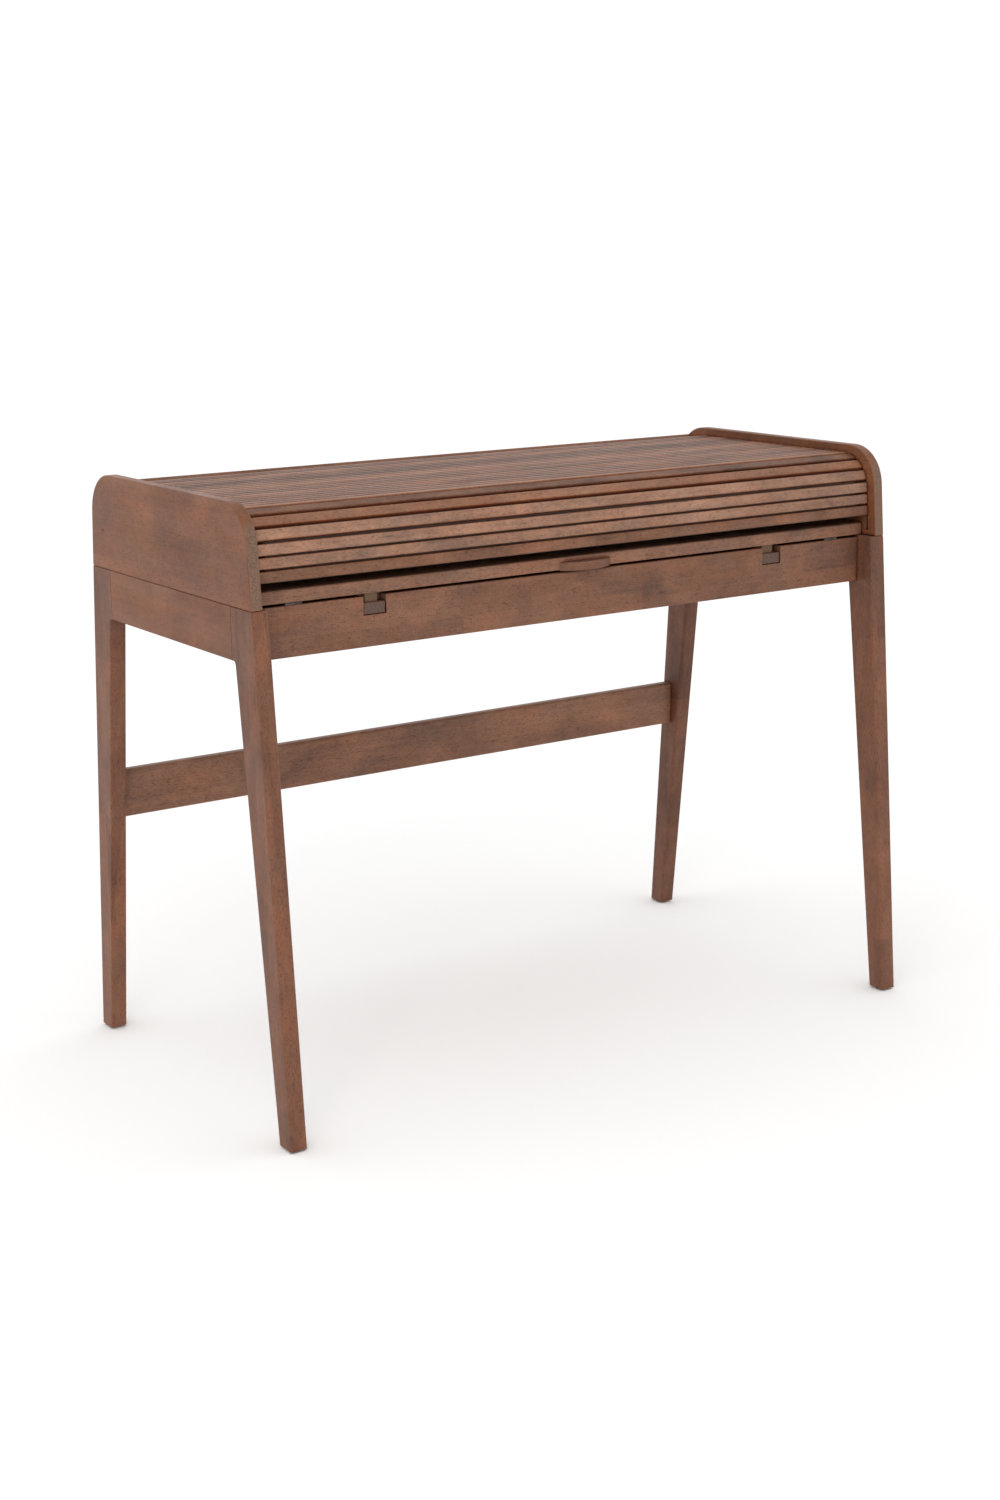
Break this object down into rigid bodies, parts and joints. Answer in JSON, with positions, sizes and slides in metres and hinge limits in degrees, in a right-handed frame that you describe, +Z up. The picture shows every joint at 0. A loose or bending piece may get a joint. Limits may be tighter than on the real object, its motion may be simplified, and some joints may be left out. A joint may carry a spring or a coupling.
{
  "type": "roll top desk",
  "caption": "Small wooden writing desk with splayed tapered legs, rounded side panels, a slatted roll top and a pull-out writing board.",
  "frame": {"origin": "on the floor, under the middle of the desk's outline", "axes": "+X to the right along the width, +Y from the user's side towards the back, +Z up"},
  "size_m": [1.1, 0.5996, 0.86],
  "materials": {
    "stained_wood": "satin lacquer over walnut stain",
    "panel_wood": "satin lacquer over walnut stain",
    "slat_wood": "satin lacquer over walnut stain",
    "raw_wood": "planed, unfinished",
    "plywood": "stained veneer",
    "canvas": "woven cotton duck",
    "plated_steel": "zinc plated",
    "nylon": "moulded nylon"
  },
  "bodies": {
    "case": {"leg_front_left": "stained_wood", "leg_front_right": "stained_wood", "leg_back_left": "stained_wood", "leg_back_right": "stained_wood", "side_apron_left": "stained_wood", "side_apron_right": "stained_wood", "front_rail": "stained_wood", "back_rail": "stained_wood", "stretcher": "stained_wood", "bottom_panel": "plywood", "foot_glides": "nylon", "rail_dowels": "raw_wood", "panel_dowels": "raw_wood", "side_panel_left": "panel_wood", "side_panel_right": "panel_wood", "back_cap": "stained_wood", "back_panel": "plywood", "organizer_floor": "plywood", "organizer_back": "plywood", "organizer_dividers": "plywood", "runner_guide_left": "raw_wood", "runner_guide_right": "raw_wood", "glide_plates": "plated_steel"},
    "board": {"writing_board": "stained_wood", "pull_handle": "stained_wood", "handle_dowels": "raw_wood", "runner_webs": "raw_wood", "runner_foot_left": "stained_wood", "runner_foot_right": "stained_wood", "stop_blocks": "raw_wood"},
    "curtain_top": {"slat_07": "slat_wood", "slat_08": "slat_wood", "slat_09": "slat_wood", "slat_10": "slat_wood", "slat_11": "slat_wood", "slat_12": "slat_wood", "slat_13": "slat_wood", "slat_14": "slat_wood", "slat_15": "slat_wood", "slat_16": "slat_wood", "slat_17": "slat_wood", "slat_18": "slat_wood", "canvas_top": "canvas"},
    "curtain_front_1": {"slat_06": "slat_wood"},
    "curtain_front_2": {"slat_05": "slat_wood"},
    "curtain_front_3": {"slat_04": "slat_wood"},
    "curtain_drop": {"slat_01": "slat_wood", "slat_02": "slat_wood", "slat_03": "slat_wood", "canvas_front": "canvas"},
    "curtain_back_1": {"slat_19": "slat_wood"},
    "curtain_back_2": {"slat_20": "slat_wood"},
    "curtain_back_3": {"slat_21": "slat_wood"},
    "curtain_tail": {"slat_22": "slat_wood", "slat_23": "slat_wood", "slat_24": "slat_wood", "slat_25": "slat_wood", "slat_26": "slat_wood", "canvas_back": "canvas"},
    "curtain_end": {"slat_27": "slat_wood"}
  },
  "joints": [
    {"name": "board_slide", "type": "slide", "parent": "case", "child": "board", "axis": [0, -1, 0], "range_m": [0, 0.22]},
    {"name": "tambour_slide", "type": "slide", "parent": "case", "child": "curtain_top", "axis": [0, 1, 0], "range_m": [0, 0.14]},
    {"name": "front_turn_1", "type": "hinge", "parent": "curtain_top", "child": "curtain_front_1", "pos_m": [0, -0.177, 0.84], "axis": [-1, 0, 0], "range_deg": [0, 21.39]},
    {"name": "front_turn_2", "type": "hinge", "parent": "curtain_front_1", "child": "curtain_front_2", "pos_m": [0, -0.19329, 0.83362], "axis": [-1, 0, 0], "range_deg": [0, 21.39]},
    {"name": "front_turn_3", "type": "hinge", "parent": "curtain_front_2", "child": "curtain_front_3", "pos_m": [0, -0.20614, 0.82174], "axis": [-1, 0, 0], "range_deg": [0, 21.39]},
    {"name": "front_turn_4", "type": "hinge", "parent": "curtain_front_3", "child": "curtain_drop", "pos_m": [0, -0.21377, 0.80599], "axis": [-1, 0, 0], "range_deg": [0, 21.39]},
    {"name": "back_turn_1", "type": "hinge", "parent": "curtain_top", "child": "curtain_back_1", "pos_m": [0, 0.033, 0.84], "axis": [-1, 0, 0], "range_deg": [0, 21.39]},
    {"name": "back_turn_2", "type": "hinge", "parent": "curtain_top", "child": "curtain_back_2", "pos_m": [0, 0.04175, 0.83835], "axis": [-1, 0, 0], "range_deg": [0, 42.77]},
    {"name": "back_turn_3", "type": "hinge", "parent": "curtain_top", "child": "curtain_back_3", "pos_m": [0, 0.0505, 0.83554], "axis": [-1, 0, 0], "range_deg": [0, 64.16]},
    {"name": "back_turn_4", "type": "hinge", "parent": "curtain_top", "child": "curtain_tail", "pos_m": [0, 0.05925, 0.8315], "axis": [-1, 0, 0], "range_deg": [0, 85.54]},
    {"name": "end_turn", "type": "hinge", "parent": "curtain_tail", "child": "curtain_end", "pos_m": [0, 0.173, 0.84], "axis": [1, 0, 0], "range_deg": [0, 21.39]}
  ],
  "couplings": [
    {"joint": "front_turn_1", "follows": "tambour_slide", "rad_per_m": 2.6657},
    {"joint": "front_turn_2", "follows": "tambour_slide", "rad_per_m": 2.6657},
    {"joint": "front_turn_3", "follows": "tambour_slide", "rad_per_m": 2.6657},
    {"joint": "front_turn_4", "follows": "tambour_slide", "rad_per_m": 2.6657},
    {"joint": "back_turn_1", "follows": "tambour_slide", "rad_per_m": 2.6657},
    {"joint": "back_turn_2", "follows": "tambour_slide", "rad_per_m": 5.3314},
    {"joint": "back_turn_3", "follows": "tambour_slide", "rad_per_m": 7.997},
    {"joint": "back_turn_4", "follows": "tambour_slide", "rad_per_m": 10.663},
    {"joint": "end_turn", "follows": "tambour_slide", "rad_per_m": 2.6657}
  ]
}
